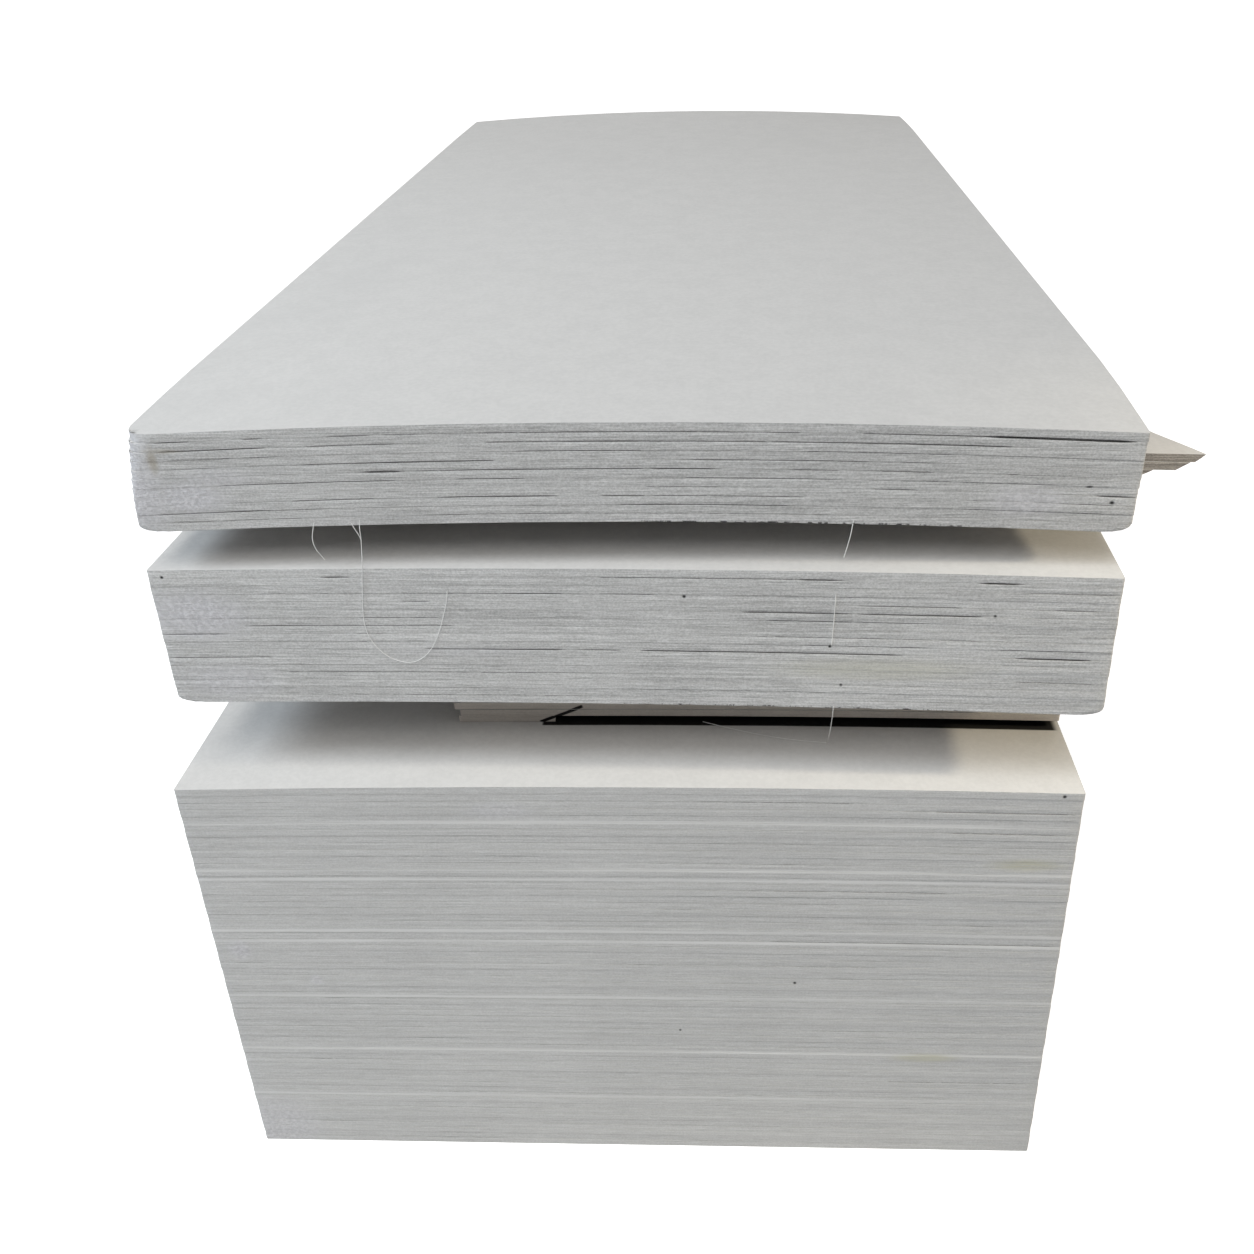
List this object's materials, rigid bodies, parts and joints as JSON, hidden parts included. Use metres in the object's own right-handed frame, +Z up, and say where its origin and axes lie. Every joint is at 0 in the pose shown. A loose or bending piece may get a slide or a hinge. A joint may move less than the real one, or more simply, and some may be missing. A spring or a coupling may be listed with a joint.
{
  "type": "stack of magnesium oxide boards",
  "caption": "Stack of plain grey magnesium oxide building boards, in packs held apart by piles of board offcuts.",
  "frame": {"origin": "centre of the underside of the lowest board, on the floor", "axes": "+Y along the boards, away from the short end seen in front; +X across the boards, to the right; +Z up"},
  "size_m": [1.4059, 2.4895, 1.2191],
  "materials": {
    "board": "matte",
    "spacer_strip": "matte"
  },
  "bodies": {
    "root": {"bottom_boards_01": "board", "bottom_boards_02": "board", "bottom_boards_03": "board", "bottom_boards_04": "board", "bottom_boards_05": "board", "bottom_boards_06": "board", "bottom_boards_07": "board", "bottom_boards_08": "board", "bottom_boards_09": "board", "bottom_boards_10": "board", "bottom_boards_11": "board", "bottom_boards_12": "board", "lower_spacer_front": "spacer_strip", "lower_spacer_middle": "spacer_strip", "lower_spacer_rear": "spacer_strip", "middle_board_01": "board", "middle_board_02": "board", "middle_board_03": "board", "middle_board_04": "board", "middle_board_05": "board", "middle_board_06": "board", "middle_board_07": "board", "middle_board_08": "board", "middle_board_09": "board", "middle_board_10": "board", "middle_board_11": "board", "middle_board_12": "board", "middle_board_13": "board", "middle_board_14": "board", "middle_board_15": "board", "middle_board_16": "board", "middle_board_17": "board", "top_board_01": "board", "top_board_02": "board", "top_board_03": "board", "top_board_04": "board", "top_board_05": "board", "top_board_06": "board", "top_board_07": "board", "top_board_08": "board", "top_board_09": "board", "top_board_10": "board", "top_board_11": "board", "upper_spacer_front": "spacer_strip", "upper_spacer_middle": "spacer_strip", "upper_spacer_rear": "spacer_strip"}
  },
  "joints": []
}
